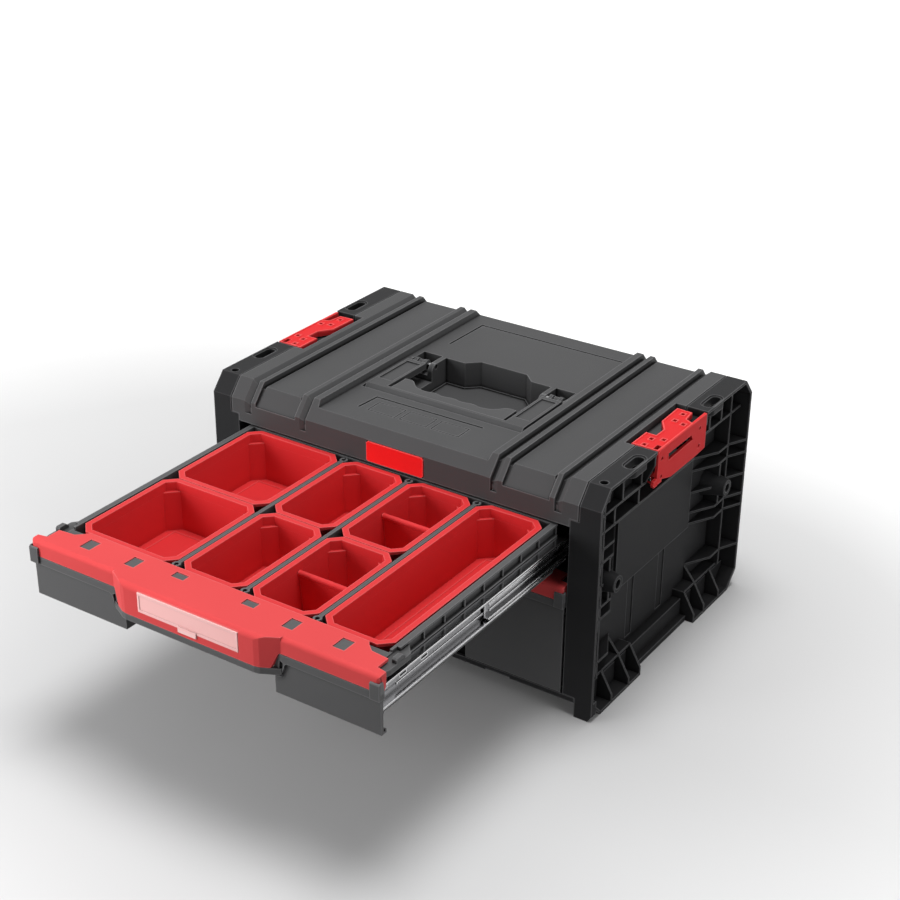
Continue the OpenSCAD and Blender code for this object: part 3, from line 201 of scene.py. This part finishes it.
# painted light: shades run from faces that look down, at 0, painted dark as if in shade, to faces that look
# up, at 1, painted bright as a painted reflection of the sky
zincLook = {"shades": ((0.0, tint(0.02, 0.02, 0.02)), (0.28, tint(0.05, 0.05, 0.05)),
                       (0.44, tint(0.20, 0.20, 0.205)), (0.53, tint(0.34, 0.34, 0.35)),
                       (0.66, tint(0.78, 0.78, 0.79))),
            "deep": tint(0.02, 0.02, 0.02), "smudged": tint(0.30, 0.30, 0.31), "smudge": 0.16,
            "along": (260.0, 3.0, 260.0), "cloudScale": 14.0, "rough": 0.16, "roughSpread": 0.05,
            "hollowReach": 0.0045, "hollowGain": 1.1,
            "lineDepth": 0.02, "lineHeight": 0.0002,
            "edge": tint(0.97, 0.97, 0.98), "edgeReach": 0.0009, "edgeGain": 2.6, "soften": 0.0006}
# pins and screws: a darker steel, with the same painted light by facing
pinLook = dict(zincLook, shades=((0.0, tint(0.03, 0.03, 0.03)), (0.5, tint(0.20, 0.20, 0.205)),
                                 (0.8, tint(0.36, 0.36, 0.365))), edge=tint(0.62, 0.62, 0.63), rough=0.26)


def rolledZinc(name, look):  # cold-rolled sheet with painted light: faces are painted bright where they look up and dark where they look down
    f = Finish(name)
    lengthwise = f.node("Mapping", Vector=f.place(), Scale=look["along"])
    lines = f.node("TexNoise", Vector=lengthwise, Scale=1.0, Detail=2.0)
    smudge = f.noise(look["cloudScale"], detail=2.0)
    upward = f.node("SeparateXYZ", Vector=f.node("TexCoord", out="Normal"), out="Z")
    shade = f.node("ValToRGB", {"stops": look["shades"]}, Fac=upward * 0.5 + 0.5)
    body = f.blended((smudge * look["smudge"]).clamped(), shade, look["smudged"])
    # painted shade in grooves and inner corners
    shadedBody = f.blended(f.hollows(look["hollowReach"], look["hollowGain"]), body, look["deep"])
    # painted highlight: bright glints along the outer edges
    bright = f.blended(f.edges(look["edgeReach"], look["edgeGain"]), shadedBody, look["edge"])
    rough = look["rough"] + (smudge - 0.5) * look["roughSpread"]
    drawn = f.bumped(lines, look["lineDepth"], look["lineHeight"], look["soften"])
    return f.surface(Base_Color=bright, Metallic=1.0, Roughness=rough, Normal=drawn)


def dressNodes(material, *names):
    for name in names:
        slots = bpy.data.objects[name].data.materials
        slots.clear()
        slots.append(material)


def endsWith(*endings):
    return [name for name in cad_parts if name.endswith(endings)]


dressNodes(mouldedPlastic("shadedCaseGraphite", shadedCaseLook), "left_side_panel", "right_side_panel", "base_plate",
           "rear_panel")
dressNodes(mouldedPlastic("coverGraphite", coverLook), "top_cover", "carry_handle")
dressNodes(mouldedPlastic("gripGraphite", gripLook), "handle_grip")
dressNodes(mouldedPlastic("litTrayGraphite", litTrayLook), "upper_tray", "lower_tray", *endsWith("_strip"))
dressNodes(mouldedPlastic("signalRed", redLook), "upper_cap", "lower_cap")
dressNodes(mouldedPlastic("labelRed", labelLook), "front_label_plate")
latchRed = mouldedPlastic("latchRed", latchLook)
dressNodes(latchRed, "left_latch", "right_latch")
dressNodes(mouldedPlastic("binRed", binLook), *endsWith("_bin_rear", "_bin_front", "long_bin", "_divider"))
dressNodes(mouldedPlastic("pinkWindow", windowLook), *endsWith("_window"))
dressNodes(mouldedPlastic("labelCard", cardLook), *endsWith("_card"))
dressNodes(rolledZinc("rolledZinc", zincLook), *endsWith("_rail", "_cages"))
dressNodes(rolledZinc("pinSteel", pinLook), "handle_pins", "left_latch_pin", "right_latch_pin", "case_screws")
print("materials assigned")


# low rims on the latches' top arms: one follows the arm's outline, and one goes round each pit.
# Points are in metres, across from the arm's inner tip and along from the case's middle.
latchRims = {
    "top": 0.2432, "sink": 0.0002, "rise": 0.0007, "inset": 0.0002, "width": 0.0013,
    "pitHalf": (0.0031, 0.0035), "pitWidth": 0.0012, "side": 0.2245, "sideFrom": -0.050, "sideTo": 0.021,
    "arm": ((0.0, -0.050), (0.0, -0.0205), (0.002, -0.0214), (0.011, -0.0214), (0.011, -0.0063),
            (0.001, 0.0087), (0.0, 0.043), (0.017, 0.042), (0.019, 0.0258)),
    "pits": ((0.011, 0.0337), (0.011, 0.0169), (0.0215, 0.0135), (0.0215, -0.0263), (0.011, -0.0309),
             (0.011, -0.045))}


def insetFace(shape, face, width):
    return bmesh.ops.inset_region(shape, faces=[face], thickness=width, use_even_offset=True,
                                  use_boundary=True)["faces"]


def raisedRim(shape, outline, inset, width):  # a closed strip along the inside of a flat outline
    face = shape.faces.new([shape.verts.new(corner) for corner in outline])
    shape.normal_update()
    if inset > 0:
        margin = insetFace(shape, face, inset)
        bmesh.ops.delete(shape, geom=margin, context="FACES")
    strip = insetFace(shape, face, width)
    bmesh.ops.delete(shape, geom=[face], context="FACES")
    grown = bmesh.ops.extrude_face_region(shape, geom=strip, use_keep_orig=True)["geom"]
    raised = [part for part in grown if isinstance(part, bmesh.types.BMVert)]
    bmesh.ops.translate(shape, verts=raised, vec=(0, 0, latchRims["rise"] + latchRims["sink"]))


def rimLatch(name, body, hand):  # hand is 1 on the right and -1 on the left
    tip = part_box("right_latch")[0].x
    low = latchRims["top"] - latchRims["sink"]
    arm = [(tip + x, y) for x, y in latchRims["arm"]]
    arm += [(latchRims["side"], latchRims["sideTo"]), (latchRims["side"], latchRims["sideFrom"])]
    shape = bmesh.new()
    raisedRim(shape, [(hand * x, shiftY + y, low) for x, y in arm], latchRims["inset"], latchRims["width"])
    acrossHalf, alongHalf = latchRims["pitHalf"]
    for x, y in latchRims["pits"]:
        corners = [(tip + x + i * acrossHalf, y + j * alongHalf)
                   for i, j in ((-1, -1), (1, -1), (1, 1), (-1, 1))]
        raisedRim(shape, [(hand * x, shiftY + y, low) for x, y in corners], 0.0, latchRims["pitWidth"])
    bmesh.ops.recalc_face_normals(shape, faces=shape.faces)
    mesh = bpy.data.meshes.new(name)
    shape.to_mesh(mesh)
    shape.free()
    mesh.materials.append(latchRed)
    rims = bpy.data.objects.new(name, mesh)
    bpy.context.collection.objects.link(rims)
    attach(rims, body)


rimLatch("rightLatchRims", "right_stacking_latch", 1)
rimLatch("leftLatchRims", "left_stacking_latch", -1)
print("latch rims made")


# rays that see the studio pale, while all others get its dimmer light
seeingRays = ("Is Camera Ray", "Is Glossy Ray", "Is Transmission Ray")

# floor: pale for the camera and for shiny surfaces, and duller in the light that it throws back; its colour
# carries painted shade, darkest near the case as a painted soft shadow and paler further off, behind and
# towards the right, where it also glows into white
floorLook = {"near": tint(0.545, 0.545, 0.548), "far": tint(0.95, 0.95, 0.95),
             "bounce": tint(0.30, 0.30, 0.302), "reach": 6.0, "halfX": 0.20, "halfY": 0.26, "span": 0.74,
             "behind": 0.50, "rightward": 0.16, "glow": 0.50, "glowStart": 0.45, "glowSpan": 0.80,
             "hazeStart": 1.2, "hazeSpan": 2.0, "rough": 0.7}


def paleFloor():
    reach = floorLook["reach"]
    mesh = bpy.data.meshes.new("paleFloor")
    mesh.from_pydata([(-reach, -reach, 0), (reach, -reach, 0), (reach, reach, 0), (-reach, reach, 0)], [],
                     [(0, 1, 2, 3)])
    floor = bpy.data.objects.new("paleFloor", mesh)
    bpy.context.collection.objects.link(floor)
    f = Finish("paleFloor")
    across = f.node("SeparateXYZ", Vector=f.place(), out="X")
    away = f.node("SeparateXYZ", Vector=f.place(), out="Y")
    # painted soft shadow: the floor's colour is darkened by closeness to the case's outline
    besideX = (across.size() - floorLook["halfX"]).atLeast(0.0)
    besideY = (away.size() - floorLook["halfY"]).atLeast(0.0)
    distance = (besideX ** 2.0 + besideY ** 2.0) ** 0.5 + away.atLeast(0.0) * floorLook["behind"]
    distance = distance + across * floorLook["rightward"]
    fade = (distance / floorLook["span"]).clamped()
    paint = f.blended(fade, floorLook["near"], floorLook["far"])
    farOff = ((distance - floorLook["glowStart"]) / floorLook["glowSpan"]).clamped()
    haze = ((distance - floorLook["hazeStart"]) / floorLook["hazeSpan"]).clamped()
    brightness = farOff * floorLook["glow"] + haze * (1.0 - floorLook["glow"])
    glow = f.blended(brightness, tint(0, 0, 0), tint(1, 1, 1))
    paleSide = f.node("BsdfPrincipled", Base_Color=paint, Roughness=floorLook["rough"], Specular_IOR_Level=0.0,
                      Emission_Color=glow, Emission_Strength=1.0)
    dullSide = f.node("BsdfDiffuse", Color=floorLook["bounce"])
    seen = sum(f.node("LightPath", out=ray) for ray in seeingRays)
    shown = f.node("MixShader", Fac=seen.clamped())
    mixer = shown.out.node
    f.tree.links.new(dullSide.out, mixer.inputs[1])
    f.tree.links.new(paleSide.out, mixer.inputs[2])
    f.tree.links.new(shown.out, f.end.inputs["Surface"])
    mesh.materials.append(f.material)


paleFloor()

# camera at the photograph's viewing angle: degrees, pixels, and metres from the case's middle
view = {"azimuth": 33.691, "elevation": 26.841, "roll": 0.484, "focal": 1725.3, "frame": 900.0,
        "from": (0.8531, -1.3400, 0.9627)}


def photographersCamera():
    az, el, roll = (math.radians(view[key]) for key in ("azimuth", "elevation", "roll"))
    back = Vector((math.sin(az) * math.cos(el), -math.cos(az) * math.cos(el), math.sin(el)))
    right = (-back).cross(Vector((0, 0, 1))).normalized()
    up = right.cross(-back)
    right, up = (right * math.cos(roll) + up * math.sin(roll), up * math.cos(roll) - right * math.sin(roll))
    lens = bpy.data.cameras.new("photographersCamera")
    lens.sensor_width = 36.0
    lens.lens = view["focal"] / view["frame"] * lens.sensor_width
    lens.clip_end = 50.0
    eye = bpy.data.objects.new("photographersCamera", lens)
    bpy.context.collection.objects.link(eye)
    turn = Matrix((right, up, back)).transposed().to_4x4()
    eye.matrix_world = Matrix.Translation(Vector(view["from"]) + Vector((0, shiftY, 0))) @ turn
    bpy.context.scene.camera = eye


photographersCamera()

# lamps: a key box almost straight above, and weak ones in front and on the right
lamps = {
    "topBox": {"at": (0.12, 0.16, 3.0), "aim": (0, -0.02, 0.1), "size": 1.3, "watts": 70.0, "gloss": True},
    "frontBox": {"at": (-0.82, -1.02, 0.50), "aim": (-0.05, -0.25, 0.17), "size": 0.6, "watts": 13.0,
                 "gloss": False},
    "rightBox": {"at": (1.50, -0.10, 0.60), "aim": (0.22, 0.15, 0.16), "size": 0.9, "watts": 6.0,
                 "gloss": False}}


def softBox(name, lamp):
    light = bpy.data.lights.new(name, "AREA")
    light.shape = "SQUARE"
    light.size = lamp["size"]
    light.energy = lamp["watts"]
    box = bpy.data.objects.new(name, light)
    bpy.context.collection.objects.link(box)
    box.visible_glossy = lamp["gloss"]
    aim = Vector(lamp["aim"]) - Vector(lamp["at"])
    box.matrix_world = Matrix.Translation(lamp["at"]) @ aim.to_track_quat("-Z", "Y").to_matrix().to_4x4()


for lampName, lamp in lamps.items():
    softBox(lampName, lamp)


# surroundings: white to look at, and a dimmer light that comes mostly from the left
studio = {"bright": 0.27, "dim": 0.02, "from": (-0.80, -0.10, 0.60), "turn": 0.55}


def paleWorld():
    world = bpy.data.worlds.new("paleStudio")
    world.use_nodes = True
    tree = world.node_tree
    tree.nodes.clear()
    way = tree.nodes.new("ShaderNodeTexCoord")
    dot = tree.nodes.new("ShaderNodeVectorMath")
    dot.operation = "DOT_PRODUCT"
    dot.inputs[1].default_value = Vector(studio["from"]).normalized()
    tree.links.new(way.outputs["Generated"], dot.inputs[0])
    towards = (Signal(tree, dot.outputs["Value"]) * studio["turn"] + (1.0 - studio["turn"])).clamped()
    glow = tree.nodes.new("ShaderNodeBackground")
    white = tree.nodes.new("ShaderNodeBackground")
    mix = tree.nodes.new("ShaderNodeMixShader")
    end = tree.nodes.new("ShaderNodeOutputWorld")
    plug(tree, glow.inputs["Strength"], towards * (studio["bright"] - studio["dim"]) + studio["dim"])
    for ground in (glow, white):
        ground.inputs["Color"].default_value = tint(1.0, 1.0, 1.0)
    white.inputs["Strength"].default_value = 1.0
    path = tree.nodes.new("ShaderNodeLightPath")
    seen = sum(Signal(tree, path.outputs[ray]) for ray in seeingRays)
    tree.links.new(seen.clamped().out, mix.inputs["Fac"])
    tree.links.new(glow.outputs[0], mix.inputs[1])
    tree.links.new(white.outputs[0], mix.inputs[2])
    tree.links.new(mix.outputs[0], end.inputs["Surface"])
    bpy.context.scene.world = world


paleWorld()
bpy.context.scene.view_settings.view_transform = "Standard"
print("camera, lamps and floor set")
